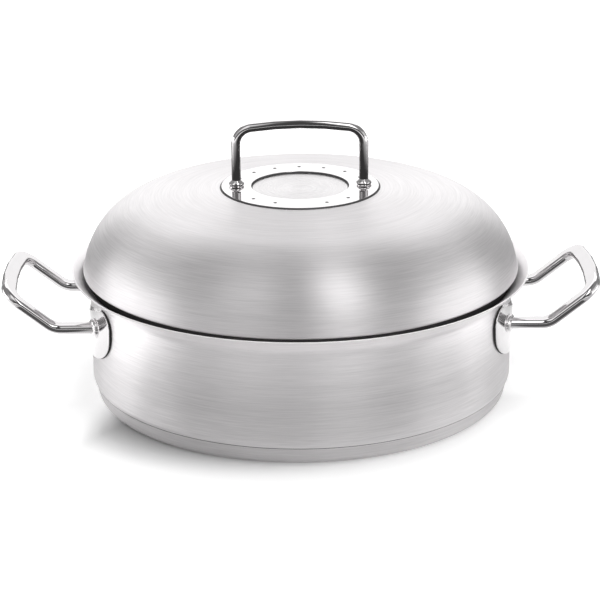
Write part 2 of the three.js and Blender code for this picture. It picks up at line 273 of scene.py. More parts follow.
# Partly painted shade: the plates' sheared sides are rough, and their near-black tone stands in for
# the shadow gap along the wall.
sheared_painted_shade = clouded_steel("sheared edge painted shade", 0.05, 0.45, 0.2, 0.8 * MM, 0.05 * MM)
aluminium = clouded_steel("core aluminium", 0.7, 0.4, 0.2, 3 * MM, 0.05 * MM)
bright = (polished, bar_steel, plate_steel, weld, bead, flare_painted_light, rim_edge_painted_highlight, aluminium)
dark = (etched, braze, groove_painted_shade, sheared_painted_shade)
print("clouded finishes:", [material.name for material in (*bright, *dark)])

# %% [markdown]
# ## Profiles
#
# Most pieces are drawn, pressed or turned, so each is one line swung round the axis. A profile
# runs outwards along the underside and back over the top, which makes all faces point outwards.
# Its bends are true arcs, with just enough points to stay within a few microns of the round form.
# A long straight run gets two more points near its ends, because smooth shading would otherwise
# bleed from a bend over the whole run.

# %% Profile helpers
ARC_ERROR = 0.006 * MM
SUPPORT = 0.4 * MM
LONG_RUN = 4 * SUPPORT
SIDES = 256


def arc(centre, radius, start, end):
    """Points along an arc of a profile, both ends included."""
    step = 2 * math.acos(max(0, 1 - ARC_ERROR / radius))
    steps = max(2, math.ceil(abs(end - start) / step))
    return [
        (centre[0] + radius * math.cos(angle), centre[1] + radius * math.sin(angle))
        for angle in np.linspace(start, end, steps + 1)
    ]


def rounded(*corners):
    """Points along a line through corners, each given as radius, height and rounding."""
    line = []
    for i, (x, z, rounding) in enumerate(corners):
        if not rounding:
            line.append((x, z))
            continue
        here = Vector((x, z))
        back = (Vector(corners[i - 1][:2]) - here).normalized()
        ahead = (Vector(corners[i + 1][:2]) - here).normalized()
        half = back.angle(ahead) / 2
        centre = here + (back + ahead).normalized() * rounding / math.sin(half)
        first = here + back * rounding / math.tan(half) - centre
        turn = math.pi - 2 * half
        if back.x * ahead.y - back.y * ahead.x > 0:
            turn = -turn
        start = math.atan2(first.y, first.x)
        line += arc(centre, rounding, start, start + turn)
    return line


def supported(line):
    """The same line with points near both ends of each long straight run."""
    result = [line[0]]
    for here, there in zip(line, line[1:]):
        a, b = Vector(here), Vector(there)
        length = (b - a).length
        if length > LONG_RUN:
            for share in (SUPPORT / length, 0.5, 1 - SUPPORT / length):
                result.append(tuple(a.lerp(b, share)))
        result.append(there)
    return result


# %% The lathe
SAME = 1e-7
SHARP = math.radians(35)


def finish_mesh(mesh, materials):
    """Smooth shading with crisp edges, and the finishes in slot order."""
    for material in materials:
        mesh.materials.append(material)
    mesh.polygons.foreach_set("use_smooth", [True] * len(mesh.polygons))
    mesh.set_sharp_from_angle(angle=SHARP)
    return mesh


def lathe(name, runs, materials, sides=SIDES):
    """Swings runs of a profile round Z; a run is its finish's slot and its points."""
    profile, slots = [], []
    for slot, run in runs:
        for point in supported(run):
            if not profile or math.dist(point, profile[-1]) > SAME:
                profile.append(point)
                slots.append(slot)
    closed = math.dist(profile[0], profile[-1]) < SAME
    lengths = [0.0]
    for here, there in zip(profile, profile[1:]):
        lengths.append(lengths[-1] + math.dist(here, there))
    vertices, rings = [], []
    for radius, height in profile[:-1] if closed else profile:
        on_axis = radius < SAME
        rings.append([len(vertices) + (0 if on_axis else i) for i in range(sides)])
        for i in range(1 if on_axis else sides):
            angle = 2 * math.pi * i / sides
            vertices.append((radius * math.cos(angle), radius * math.sin(angle), height))
    if closed:
        rings.append(rings[0])
    faces, face_slots, marks = [], [], []
    for row, (low, high) in enumerate(zip(rings, rings[1:])):
        for i in range(sides):
            j = (i + 1) % sides
            corners = [
                (low[i], i, row),
                (low[j], i + 1, row),
                (high[j], i + 1, row + 1),
                (high[i], i, row + 1),
            ]
            kept = [c for k, c in enumerate(corners) if c[0] != corners[k - 1][0]]
            faces.append([c[0] for c in kept])
            marks += [(c[1] / sides, lengths[c[2]]) for c in kept]
            face_slots.append(slots[row + 1])
    mesh = bpy.data.meshes.new(name)
    mesh.from_pydata(vertices, [], faces)
    mesh.polygons.foreach_set("material_index", face_slots)
    layer = mesh.uv_layers.new(name="turned")
    layer.data.foreach_set("uv", [number for mark in marks for number in mark])
    return finish_mesh(mesh, materials)


# %% Placing pieces
HALF_TURN = Matrix.Rotation(math.pi, 4, "Z")


def add(name, data):
    """A new object in the scene."""
    thing = bpy.data.objects.new(name, data)
    bpy.context.scene.collection.objects.link(thing)
    return thing


def place(name, mesh, body, slot, *nodes):
    """Adds a finished mesh as a piece on a CAD body, standing for the CAD nodes it is made from."""
    piece = add(name, mesh)
    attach(piece, body)
    if nodes:
        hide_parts(*nodes)
    mesh.calc_loop_triangles()
    size = Vector(np.ptp([v.co for v in mesh.vertices], axis=0)) / MM
    print(f"{name}: {len(mesh.loop_triangles)} triangles,", [round(x, 1) for x in size], "mm")


def place_both(name, make, *nodes):
    """Makes a piece of the right handle, and the left one's by half a turn."""
    for side in ("right", "left"):
        mesh = make(f"{side}_{name}")
        if side == "left":
            mesh.transform(HALF_TURN)
        stands_for = [f"{side}_{node}" for node in nodes]
        place(f"{side}_{name}", mesh, "pan", "polished_steel", *stands_for)


# %% [markdown]
# ## The drawn pan
#
# One disc of steel is drawn into floor, wall and a flared pouring rim. Subdividing a rough cage
# could make it, but the roundings would drift; a turned profile keeps every radius. The outside
# is brushed, the rim's edge and the satin flare are pale with little metal, which paints a
# highlight on them, and the inside has a duller satin finish.

# %% Pan
PAN_INNER_RADIUS = 140 * MM
PAN_WALL = 1 * MM
PAN_FLOOR = 1.2 * MM
PAN_CORNER = 8 * MM
WALL_HEIGHT = 66.3 * MM
THROAT_RADIUS = 6 * MM
RIM_LEAN = math.radians(52)

pan_low, pan_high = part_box("pan_body")
pan_bottom = pan_low.z
floor_top = pan_bottom + PAN_FLOOR
pan_outer_radius = PAN_INNER_RADIUS + PAN_WALL
throat = (pan_outer_radius + THROAT_RADIUS, pan_bottom + WALL_HEIGHT)
throat_inside = THROAT_RADIUS + PAN_WALL
rim_angle = math.pi - RIM_LEAN
edge_radius = PAN_WALL / 2
bend_middle = THROAT_RADIUS + edge_radius
bend_end = (
    throat[0] + bend_middle * math.cos(rim_angle),
    throat[1] + bend_middle * math.sin(rim_angle),
)
rim_edge_x = pan_high.x - edge_radius
rim_edge = (rim_edge_x, bend_end[1] + (rim_edge_x - bend_end[0]) / math.tan(RIM_LEAN))

wall_foot = rounded((0, pan_bottom, 0), (pan_outer_radius, pan_bottom, PAN_CORNER), (*throat, 0))
outside = [*wall_foot[:-1], *arc(throat, THROAT_RADIUS, math.pi, rim_angle)]
rim_line = arc(rim_edge, edge_radius, -RIM_LEAN, rim_angle)
outside.append(rim_line[0])
flare = arc(throat, throat_inside, rim_angle, math.pi)
inner_corner = PAN_CORNER - PAN_WALL
corner_centre = (PAN_INNER_RADIUS - inner_corner, floor_top + inner_corner)
inside = [flare[-1], *arc(corner_centre, inner_corner, 0, -math.pi / 2), (0, floor_top)]
# Slots 2 and 3, the rim's edge and the flare, carry the painted highlight.
pan_runs = [(0, outside), (2, rim_line), (3, flare), (1, inside)]
pan_mesh = lathe("pan_shell", pan_runs, [brushed, satin, rim_edge_painted_highlight, flare_painted_light])
place("pan_shell", pan_mesh, "pan", "brushed_steel", "pan_body")

# %% [markdown]
# ## The capsule base
#
# A pressed steel cap closes an aluminium core under the pan. Its upper edge is the thin seam line
# near the floor: braze flowed out there and dulled to a dark bead, which is a fine ring of its
# own. The core can't be seen, and only gets its metal.

# %% Base cap
CAP_SHEET = 1.2 * MM
CAP_LEAN = math.radians(12)
CAP_EDGE = 5 * MM
CAP_BEVEL = 1.8 * MM
SEAM_EDGE = 0.25 * MM
SEAM_RADIUS = 0.5 * MM
SEAM_LIFT = 0.25 * MM

cap_low, cap_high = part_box("base_cap")
cap_top = (cap_high.x, cap_high.z)
edge_x = cap_top[0] - (cap_top[1] - CAP_EDGE) * math.tan(CAP_LEAN) - CAP_EDGE / math.cos(CAP_LEAN)
edge_centre = (edge_x, CAP_EDGE)
core_edge = CAP_EDGE - CAP_SHEET
cap_inner = (cap_top[0] - CAP_SHEET, cap_top[1] - CAP_BEVEL)
cap_line = [
    (0, cap_low.z),
    *arc(edge_centre, CAP_EDGE, -math.pi / 2, -CAP_LEAN),
    (cap_top[0] - SEAM_EDGE * math.tan(CAP_LEAN), cap_top[1] - SEAM_EDGE),
    (cap_top[0] - SEAM_EDGE, cap_top[1] - SEAM_EDGE / 2),
    cap_inner,
    *arc(edge_centre, core_edge, -CAP_LEAN, -math.pi / 2),
    (0, cap_low.z + CAP_SHEET),
]
cap_mesh = lathe("base_cap_steel", [(0, cap_line)], [turned])
place("base_cap_steel", cap_mesh, "pan", "base_steel", "base_cap")
seam_line = arc((cap_top[0], cap_top[1] + SEAM_LIFT), SEAM_RADIUS, 0, 2 * math.pi)
place("base_seam", lathe("base_seam", [(0, seam_line)], [braze]), "pan", "base_steel")
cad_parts["base_core"].data.materials.clear()
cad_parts["base_core"].data.materials.append(aluminium)

# %% [markdown]
# ## Shield plates
#
# Each handle stands on a polished plate that is bent to the wall. Its outline is flat geometry:
# a half ellipse below and two rounded corners above. The outline is drawn on a plane, shrunk
# towards its middle in rings, and each ring is laid on the wall's cylinder. The front edge is
# rounded over, as polishing leaves it. The sheared side below the rounding is rough and nearly
# black, a painted shade for the gap between plate and wall.

# %% Outline of a plate
PLATE_CORNER = 11 * MM
PLATE_FULLNESS = 2.6
PLATE_GAP = 0.15 * MM
OUTLINE_STEPS = 48

plate_low, plate_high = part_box("right_handle_plate")
plate_outside = plate_high.x
plate_inside = pan_outer_radius + PLATE_GAP
plate_half_width = plate_high.y
plate_widest = plate_high.z - PLATE_CORNER
plate_drop = plate_widest - plate_low.z
print("plate width and drop in mm:", round(2 * plate_half_width / MM, 1), round(plate_drop / MM, 1))


def plate_outline(inset):
    """The plate's outline in the upright plane, moved in by a little."""
    corner = plate_half_width - PLATE_CORNER
    round_corner = PLATE_CORNER - inset
    points = []
    for i in range(OUTLINE_STEPS):
        angle = math.pi + math.pi * i / OUTLINE_STEPS
        across, down = (
            math.copysign(abs(share) ** (2 / PLATE_FULLNESS), share)
            for share in (math.cos(angle), math.sin(angle))
        )
        height = plate_widest + (plate_drop - inset) * down
        points.append(((plate_half_width - inset) * across, height))
    for side, start in ((corner, 0), (-corner, math.pi / 2)):
        points += arc((side, plate_widest), round_corner, start, start + math.pi / 2)
    return points


# %% Plates
PLATE_ROUNDING = 0.3 * MM
PLATE_MIDDLE = 0.25
PLATE_RINGS = 10
ROUNDING_STEPS = 5


def plate_mesh(name):
    """A closed plate: back rings, an edge that is rounded at the front, then front rings."""
    middle = plate_widest - PLATE_MIDDLE * plate_drop
    shares = [i / PLATE_RINGS for i in range(1, PLATE_RINGS)]
    layers = [(plate_inside, 0.0, share) for share in shares] + [(plate_inside, 0.0, 1.0)]
    for i in range(ROUNDING_STEPS + 1):
        angle = math.pi / 2 * i / ROUNDING_STEPS
        inset = PLATE_ROUNDING * (1 - math.cos(angle))
        layers.append((plate_outside - PLATE_ROUNDING * (1 - math.sin(angle)), inset, 1.0))
    layers += [(plate_outside, PLATE_ROUNDING, share) for share in reversed(shares)]
    vertices = []
    for radius, inset, share in layers:
        for across, height in plate_outline(inset):
            y = share * across
            z = middle + share * (height - middle)
            vertices.append((math.sqrt(radius**2 - y**2), y, z))
    count = len(vertices) // len(layers)
    faces = []
    for row in range(len(layers) - 1):
        for i in range(count):
            j = (i + 1) % count
            here, there = row * count, (row + 1) * count
            faces.append((here + i, here + j, there + j, there + i))
    side_faces = range((PLATE_RINGS - 1) * count, PLATE_RINGS * count)
    for radius, first in ((plate_inside, 0), (plate_outside, (len(layers) - 1) * count)):
        hub = len(vertices)
        vertices.append((radius, 0, middle))
        for i in range(count):
            edge = (first + (i + 1) % count, first + i)
            faces.append((hub, *(edge if first == 0 else reversed(edge))))
    mesh = bpy.data.meshes.new(name)
    mesh.from_pydata(vertices, [], faces)
    # The side faces take the sheared finish, whose near-black tone is painted shade.
    for i in side_faces:
        mesh.polygons[i].material_index = 1
    return finish_mesh(mesh, [plate_steel, sheared_painted_shade])


place_both("shield", plate_mesh, "handle_plate")

# %% [markdown]
# ## Bent bars
#
# All three handles are bars bent round formers, so each is a middle line of straight runs and
# arcs with one section swept along it. The side bars are flat with rounded edges, and the lid's
# bar is round: a rectangle whose corners are rounded off gives both, so one Geometry Nodes tree
# with named sizes serves all three.


# %% Geometry trees
def geometry_tree(name, **inputs):
    """An empty geometry tree with named inputs, as a wire on the tree and wires of its inputs."""
    tree = bpy.data.node_groups.new(name, "GeometryNodeTree")
    tree.interface.new_socket("Geometry", in_out="INPUT", socket_type="NodeSocketGeometry")
    for label, kind in inputs.items():
        tree.interface.new_socket(label, in_out="INPUT", socket_type=f"NodeSocket{kind}")
    tree.interface.new_socket("Geometry", in_out="OUTPUT", socket_type="NodeSocketGeometry")
    start = tree.nodes.new("NodeGroupInput")
    return Wire(tree), {socket.name: Wire(tree, socket) for socket in start.outputs if socket.name}


def grow(tree, source_mesh, **inputs):
    """Runs a geometry tree on a mesh, and returns what it makes as a plain mesh."""
    source = add(tree.name, source_mesh)
    modifier = source.modifiers.new(tree.name, "NODES")
    modifier.node_group = tree
    for item in tree.interface.items_tree:
        if item.in_out == "INPUT" and item.name in inputs:
            modifier[item.identifier] = inputs[item.name]
    ready = bpy.context.evaluated_depsgraph_get()
    result = bpy.data.meshes.new_from_object(source.evaluated_get(ready), depsgraph=ready)
    source.modifiers.clear()
    bpy.data.objects.remove(source)
    return result


def close_tree(wires, geometry, finish):
    """Ends a geometry tree: real geometry in place of instances, then its material."""
    real = wires.node("GeometryNodeRealizeInstances", sockets={"Geometry": geometry})
    dressed = wires.node(
        "GeometryNodeSetMaterial", sockets={"Geometry": real, "Material": finish}
    )
    end = wires.tree.nodes.new("NodeGroupOutput")
    wires.tree.links.new(dressed.socket, end.inputs["Geometry"])


# %% The bar tree
bar_wires, bar_inputs = geometry_tree(
    "bent bar",
    Width="Float",
    Thickness="Float",
    Rounding="Float",
    Steps="Int",
    Finish="Material",
)
rectangle = bar_wires.node(
    "GeometryNodeCurvePrimitiveQuadrilateral",
    sockets={"Width": bar_inputs["Width"], "Height": bar_inputs["Thickness"]},
)
section = bar_wires.node(
    "GeometryNodeFilletCurve",
    {"mode": "POLY"},
    {
        "Curve": rectangle,
        "Count": bar_inputs["Steps"],
        "Radius": bar_inputs["Rounding"],
        "Limit Radius": True,
    },
)
middle_line = bar_wires.node("GeometryNodeMeshToCurve", sockets={"Mesh": bar_inputs["Geometry"]})
swept = bar_wires.node(
    "GeometryNodeCurveToMesh",
    sockets={"Curve": middle_line, "Profile Curve": section, "Fill Caps": True},
)
close_tree(bar_wires, swept, bar_inputs["Finish"])
print("bar tree inputs:", list(bar_inputs))

# %% [markdown]
# A bent line starts at a point with a heading, and then runs straight or bends towards a side.
# The side handle leaves the plate level, turns up, and closes over a slightly bowed bridge. The
# radius of the bridge and of the two corners decide where the corners begin.

# %% Lines of the bars
BEND_STEP = math.radians(5)


class BentLine:
    """The middle line of a bent bar, as points."""

    def __init__(self, start, heading):
        self.points = [Vector(start)]
        self.heading = Vector(heading)
        self.side = None

    def run(self, length):
        start = self.points[-1]
        for share in (SUPPORT / length, 0.5, 1 - SUPPORT / length, 1):
            self.points.append(start + self.heading * length * share)
        return self

    def bend(self, towards, radius, angle):
        start, heading = self.points[-1], self.heading
        steps = math.ceil(angle / BEND_STEP)
        for i in range(1, steps + 1):
            turned_by = angle * i / steps
            ahead = heading * math.sin(turned_by) * radius
            self.points.append(start + ahead + towards * (1 - math.cos(turned_by)) * radius)
        self.heading = heading * math.cos(angle) + towards * math.sin(angle)
        self.side = towards * math.cos(angle) - heading * math.sin(angle)
        return self

    def mesh(self, name):
        line = bpy.data.meshes.new(name)
        edges = [(i, i + 1) for i in range(len(self.points) - 1)]
        line.from_pydata(self.points, edges, [])
        return line


UP, OUT, ACROSS = Vector((0, 0, 1)), Vector((1, 0, 0)), Vector((0, 1, 0))

# %% Side handles
BAR_WIDTH = 10.2 * MM
BAR_THICKNESS = 6.2 * MM
LEG_LENGTH = 21.8 * MM
LOOP_RISE = math.radians(38.7)
LOOP_LENGTH = 39.8 * MM
LEG_BEND = 14 * MM
LOOP_CORNER = 12 * MM
BRIDGE_BOW = 250 * MM
BAR_ROUNDING = 2.6 * MM
CORNER_STEPS = 10
SUNK = 0.3 * MM

handle_low, handle_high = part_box("right_handle")
leg_y = handle_high.y - BAR_WIDTH / 2
leg_z = handle_low.z + BAR_THICKNESS / 2
leg_start = math.sqrt(plate_inside**2 - (leg_y + BAR_WIDTH / 2) ** 2)
setback = LEG_BEND * math.tan(LOOP_RISE / 2)
leg_run = pan_outer_radius + LEG_LENGTH - setback - leg_start
bow_angle = math.asin((leg_y - LOOP_CORNER) / (BRIDGE_BOW - LOOP_CORNER))
corner_place = LOOP_LENGTH - BRIDGE_BOW + (BRIDGE_BOW - LOOP_CORNER) * math.cos(bow_angle)
slope_run = corner_place - setback
downhill = Vector((-math.sin(LOOP_RISE), 0, math.cos(LOOP_RISE)))


def side_bar(name):
    """A side handle, with its leg ends pressed onto the plate's round face."""
    line = BentLine((leg_start, -leg_y, leg_z), OUT)
    line.run(leg_run).bend(UP, LEG_BEND, LOOP_RISE).run(slope_run)
    line.bend(ACROSS, LOOP_CORNER, math.pi / 2 - bow_angle)
    line.bend(line.side, BRIDGE_BOW, 2 * bow_angle)
    line.bend(line.side, LOOP_CORNER, math.pi / 2 - bow_angle).run(slope_run)
    line.bend(downhill, LEG_BEND, LOOP_RISE).run(leg_run)
    bar = grow(
        bar_wires.tree,
        line.mesh(name),
        Width=BAR_WIDTH,
        Thickness=BAR_THICKNESS,
        Rounding=BAR_ROUNDING,
        Steps=CORNER_STEPS,
        Finish=bar_steel,
    )
    for vertex in bar.vertices:
        face = math.sqrt((plate_outside - SUNK) ** 2 - vertex.co.y**2)
        vertex.co.x = max(vertex.co.x, face)
    return finish_mesh(bar, [])


place_both("loop", side_bar, "handle")

# %% [markdown]
# ## Weld beads
#
# A bead of weld closes the corner between each leg and its plate. It is a rounded collar, wider or
# narrower from place to place, because it was laid by hand and then ground and polished. Random
# numbers could make it uneven, but two sines of different count give the same bead each time.

# %% Weld beads
BEAD_SIZE = 2.8 * MM
BEAD_LIFT = 2.6 * MM
BEAD_STEPS = 72
BEAD_ARC = 6
RIPPLE_COUNT = 7
BEAD_RIPPLE = 0.03
SWAY_COUNT = 3
BEAD_SWAY = 0.18
BEAD_PHASES = (0.4, 2.1)


def bead_mesh(name):
    """The two beads of a right handle, as closed rings."""
    vertices, faces = [], []
    for leg, phase in zip((-leg_y, leg_y), BEAD_PHASES):
        first = len(vertices)
        for i in range(BEAD_STEPS):
            angle = 2 * math.pi * i / BEAD_STEPS
            ripple = math.sin(RIPPLE_COUNT * angle + phase)
            sway = math.sin(SWAY_COUNT * angle + 2 * phase)
            size = BEAD_SIZE * (1 + BEAD_RIPPLE * ripple + BEAD_SWAY * sway)
            ring = []
            for k in range(BEAD_ARC + 1):
                turn = math.pi / 2 * k / BEAD_ARC
                ring.append((size * math.cos(turn), BEAD_LIFT * math.sin(turn)))
            ring += [(-2 * SUNK, BEAD_LIFT), (-2 * SUNK, -SUNK), (size, -SUNK)]
            for grown, lift in ring:
                y = leg + (BAR_WIDTH / 2 + grown) * math.cos(angle)
                z = leg_z + (BAR_THICKNESS / 2 + grown) * math.sin(angle)
                vertices.append((math.sqrt(plate_outside**2 - y**2) + lift, y, z))
        count = (len(vertices) - first) // BEAD_STEPS
        for i in range(BEAD_STEPS):
            for k in range(count):
                here, there = first + i * count, first + (i + 1) % BEAD_STEPS * count
                after = (k + 1) % count
                faces.append((here + k, there + k, there + after, here + after))
    mesh = bpy.data.meshes.new(name)
    mesh.from_pydata(vertices, [], faces)
    return finish_mesh(mesh, [bead])


place_both("weld_beads", bead_mesh)

# %% [markdown]
# ## The pressed lid
#
# The lid is one pressed sheet: a skirt and a seat that sit in the pan's throat, a groove, a lip
# folded over it, a steep side, a wide shoulder and a nearly flat crown with a raised ring and a
# sunk dish. The same line, moved in by the sheet's thickness, is its inside. The ring is polished,
# the dish is spun, the groove and the small steps beside the ring get a dark tone that paints
# their shade, and the rest is brushed like the pan.

# %% Lid line
LID_SHEET = 0.9 * MM
SEAT_GAP = 0.3 * MM
LIP_BEND = 2.5 * MM
SEAT_LEAN = math.radians(29)
SKIRT_LEAN = math.radians(8)
SKIRT_LENGTH = 5 * MM
DOME_LEAN = math.radians(14.5)
SHOULDER_RADIUS = 53 * MM
CROWN_RADIUS = 620 * MM
CROWN_HEIGHT = 55 * MM
RING_OUTER_RADIUS = 52.3 * MM
RING_INNER_RADIUS = 32.5 * MM
DISH_STEP = 1.5 * MM
DISH_SAG = 1.2 * MM
STEP_SLOPE = 0.5 * MM
STEP_ROUNDING = 0.3 * MM
LIP_DROP = 0.7 * MM
LIP_FOLD = 1.2 * MM
GROOVE_DEPTH = 4.2 * MM
GROOVE_FALL = 1.0 * MM
GROOVE_ROUNDING = 0.4 * MM

_, lid_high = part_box("lid_dome")
ring_top = lid_high.z
seat_outside = throat_inside + SEAT_GAP
lip_x = lid_high.x - LIP_BEND
seat_start = (
    throat[0] - seat_outside * math.cos(SEAT_LEAN),
    throat[1] + seat_outside * math.sin(SEAT_LEAN),
)
seat_reach = (lip_x + LIP_BEND * math.cos(SEAT_LEAN) - seat_start[0]) / math.sin(SEAT_LEAN)
lip_centre = Vector(
    (lip_x, seat_start[1] + seat_reach * math.cos(SEAT_LEAN) + LIP_BEND * math.sin(SEAT_LEAN))
)
crown_centre = Vector((0, lip_centre.y + CROWN_HEIGHT - CROWN_RADIUS))
side_normal = Vector((math.cos(DOME_LEAN), math.sin(DOME_LEAN)))
side_line = Vector((-math.sin(DOME_LEAN), math.cos(DOME_LEAN)))
side_start = lip_centre + side_normal * (LIP_BEND - SHOULDER_RADIUS)
from_crown = side_start - crown_centre
climbed = from_crown.dot(side_line)
shoulder_reach = CROWN_RADIUS - SHOULDER_RADIUS
climb = math.sqrt(shoulder_reach**2 - from_crown.length_squared + climbed**2) - climbed
shoulder_centre = side_start + side_line * climb
shoulder_top = (shoulder_centre - crown_centre).angle_signed(Vector((1, 0)))
print("shoulder centre in mm:", [round(x / MM, 2) for x in shoulder_centre])


# %% Parts of the lid line
def dome_line(inset):
    """The lid from its skirt up to the ring; inset is 0 on the outside."""
    seat = arc(throat, seat_outside + inset, math.pi - SKIRT_LEAN, math.pi - SEAT_LEAN)
    skirt_end = (
        seat[0][0] - SKIRT_LENGTH * math.sin(SKIRT_LEAN),
        seat[0][1] - SKIRT_LENGTH * math.cos(SKIRT_LEAN),
    )
    side = lip_centre + side_normal * (LIP_BEND - inset)
    lip_low = lip_centre.y - LIP_DROP + inset
    lip_out = side.x + (side.y - lip_low) * math.tan(DOME_LEAN)
    groove_corner = (lip_x + LIP_BEND - GROOVE_DEPTH - inset, lip_low - GROOVE_FALL)
    lip_corner = (lip_out, lip_low)
    hollow = rounded((*seat[-1], 0), (*groove_corner, GROOVE_ROUNDING + inset), (*lip_corner, 0))
    lip = rounded((*groove_corner, 0), (*lip_corner, LIP_FOLD - inset), (*side, 0))
    crown_end = math.acos((RING_OUTER_RADIUS + 2 * STEP_SLOPE) / CROWN_RADIUS)
    dome = [
        *lip[1:],
        *arc(shoulder_centre, SHOULDER_RADIUS - inset, DOME_LEAN, shoulder_top),
        *arc(crown_centre, CROWN_RADIUS - inset, shoulder_top, crown_end),
    ]
    return [skirt_end, *seat], [*hollow[:-1], dome[0]], dome


def ring_line(inset, crown_end):
    """The raised ring, from the crown up and in, and its step down to the edge of the dish."""
    top = ring_top - inset
    step = RING_OUTER_RADIUS - inset
    drop = top - DISH_STEP
    inner = RING_INNER_RADIUS + inset
    dish_foot = (inner - STEP_SLOPE, drop)
    crown_foot = (step + STEP_SLOPE, crown_end[1])
    ring_edge = rounded((*crown_end, 0), (*crown_foot, STEP_ROUNDING), (step, top, 0))[:-1]
    ring_corners = ((step, top, STEP_ROUNDING), (inner, top, STEP_ROUNDING))
    ring = rounded((*crown_foot, 0), *ring_corners, (*dish_foot, 0))
    dish_edge = (dish_foot[0] - STEP_SLOPE, drop)
    dish_step = rounded((inner, top, 0), (*dish_foot, STEP_ROUNDING), (*dish_edge, 0))
    bend = len(ring) // 2 - 1
    return [*ring_edge, *ring[1 : bend + 1]], ring[bend:-1], [ring[-2], *dish_step[1:]]


DISH_POINTS = 24


def dish_line(edge):
    """The dish, from its edge down to the axis."""
    shares = np.linspace(1, 0, DISH_POINTS)
    return [(share * edge[0], edge[1] - DISH_SAG * (1 - share**2)) for share in shares]


# %% Lid
seat_line, groove_line, outer_dome = dome_line(0)
ring_step, outer_ring, outer_step = ring_line(0, outer_dome[-1])
outer_dish = dish_line(outer_step[-1])
inner_parts = dome_line(LID_SHEET)
inner_parts += ring_line(LID_SHEET, inner_parts[-1][-1])
inner_parts += (dish_line(inner_parts[-1][-1]),)
inner_line = [point for part in inner_parts for point in part]
# Slot 4, the groove and the steps beside the ring, carries the painted shade.
lid_runs = [
    (3, inner_line[::-1]),
    (0, seat_line),
    (4, groove_line),
    (0, outer_dome),
    (4, ring_step),
    (1, outer_ring),
    (4, outer_step),
    (2, outer_dish),
]
lid_mesh = lathe("lid_shell", lid_runs, [domed, polished, spun, satin, groove_painted_shade])
place("lid_shell", lid_mesh, "lid", "brushed_steel", "lid_dome")

# %% [markdown]
# ## The lid's handle
#
# A round bar stands on two weld feet. The same tree sweeps it, and the feet are small turned
# pieces that flare from the bar down to the ring.

# %% Lid handle
LID_BAR = 6 * MM
LID_HANDLE_CORNER = 11.5 * MM
LID_HANDLE_CROWN = 240 * MM

_, grip_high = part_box("lid_handle")
lid_leg_x = grip_high.x - LID_BAR / 2
grip_top = grip_high.z - LID_BAR / 2
corner_x = lid_leg_x - LID_HANDLE_CORNER
arch_reach = LID_HANDLE_CROWN - LID_HANDLE_CORNER
arch_angle = math.asin(corner_x / arch_reach)
corner_height = grip_top - LID_HANDLE_CROWN + arch_reach * math.cos(arch_angle)
foot_low, foot_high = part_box("right_lid_foot")
leg_bottom = foot_high.z - SUNK

grip = BentLine((-lid_leg_x, 0, leg_bottom), UP)
grip.run(corner_height - leg_bottom).bend(OUT, LID_HANDLE_CORNER, math.pi / 2 - arch_angle)
grip.bend(grip.side, LID_HANDLE_CROWN, 2 * arch_angle)
grip.bend(grip.side, LID_HANDLE_CORNER, math.pi / 2 - arch_angle)
grip.run(corner_height - leg_bottom)
grip_mesh = grow(
    bar_wires.tree,
    grip.mesh("lid_grip"),
    Width=LID_BAR,
    Thickness=LID_BAR,
    Rounding=LID_BAR / 2,
    Steps=CORNER_STEPS,
    Finish=bar_steel,
)
place("lid_grip", finish_mesh(grip_mesh, []), "lid", "polished_steel", "lid_handle")

# %% Weld feet
FOOT_EDGE = 1.4 * MM
FOOT_ROUNDING = 0.9 * MM
FOOT_NECK = 1.4 * MM
FOOT_UNDERCUT = 0.5 * MM
FOOT_LUMPS = 0.07
FEW_LUMPS = 3
MORE_LUMPS = 5
FOOT_SIDES = 64

foot_radius = (foot_high.x - foot_low.x) / 2 / (1 + FOOT_LUMPS)
foot_top = foot_high.z + FOOT_NECK
foot_line = rounded(
    (0, ring_top, 0),
    (foot_radius - FOOT_UNDERCUT, ring_top, 0),
    (foot_radius, ring_top + FOOT_EDGE, FOOT_ROUNDING),
    (LID_BAR / 2 + FOOT_NECK, foot_high.z, FOOT_NECK),
    (LID_BAR / 2, foot_top, 0),
    (0, foot_top, 0),
)
for side, sign, phase in (("right", 1, 0.5), ("left", -1, 2.2)):
    foot = lathe(f"{side}_weld_foot", [(0, foot_line)], [weld], FOOT_SIDES)
    for vertex in foot.vertices:
        angle = math.atan2(vertex.co.y, vertex.co.x)
        few = math.sin(FEW_LUMPS * angle + phase)
        more = math.sin(MORE_LUMPS * angle + 3 * phase)
        lump = (few + more) / 2
        low = (foot_top - vertex.co.z) / (foot_top - ring_top)
        vertex.co.xy *= 1 + FOOT_LUMPS * lump * low
    foot.transform(Matrix.Translation((sign * lid_leg_x, 0, 0)))
    place(f"{side}_weld_foot", foot, "lid", "polished_steel", f"{side}_lid_foot")

# %% [markdown]
# ## Etched dots
#
# Plain dots stand in a circle on the polished ring. They repeat by a rule, so Geometry Nodes put
# one small flat dot on each corner of a circle. The place at the front stays bare, and the two
# that would lie under the feet are left out.

# %% Dots
DOT_COUNT = 16
DOT_CIRCLE = 43.5 * MM
DOT_RADIUS = 1.2 * MM
DOT_HEIGHT = 0.04 * MM
DOT_SIDES = 20

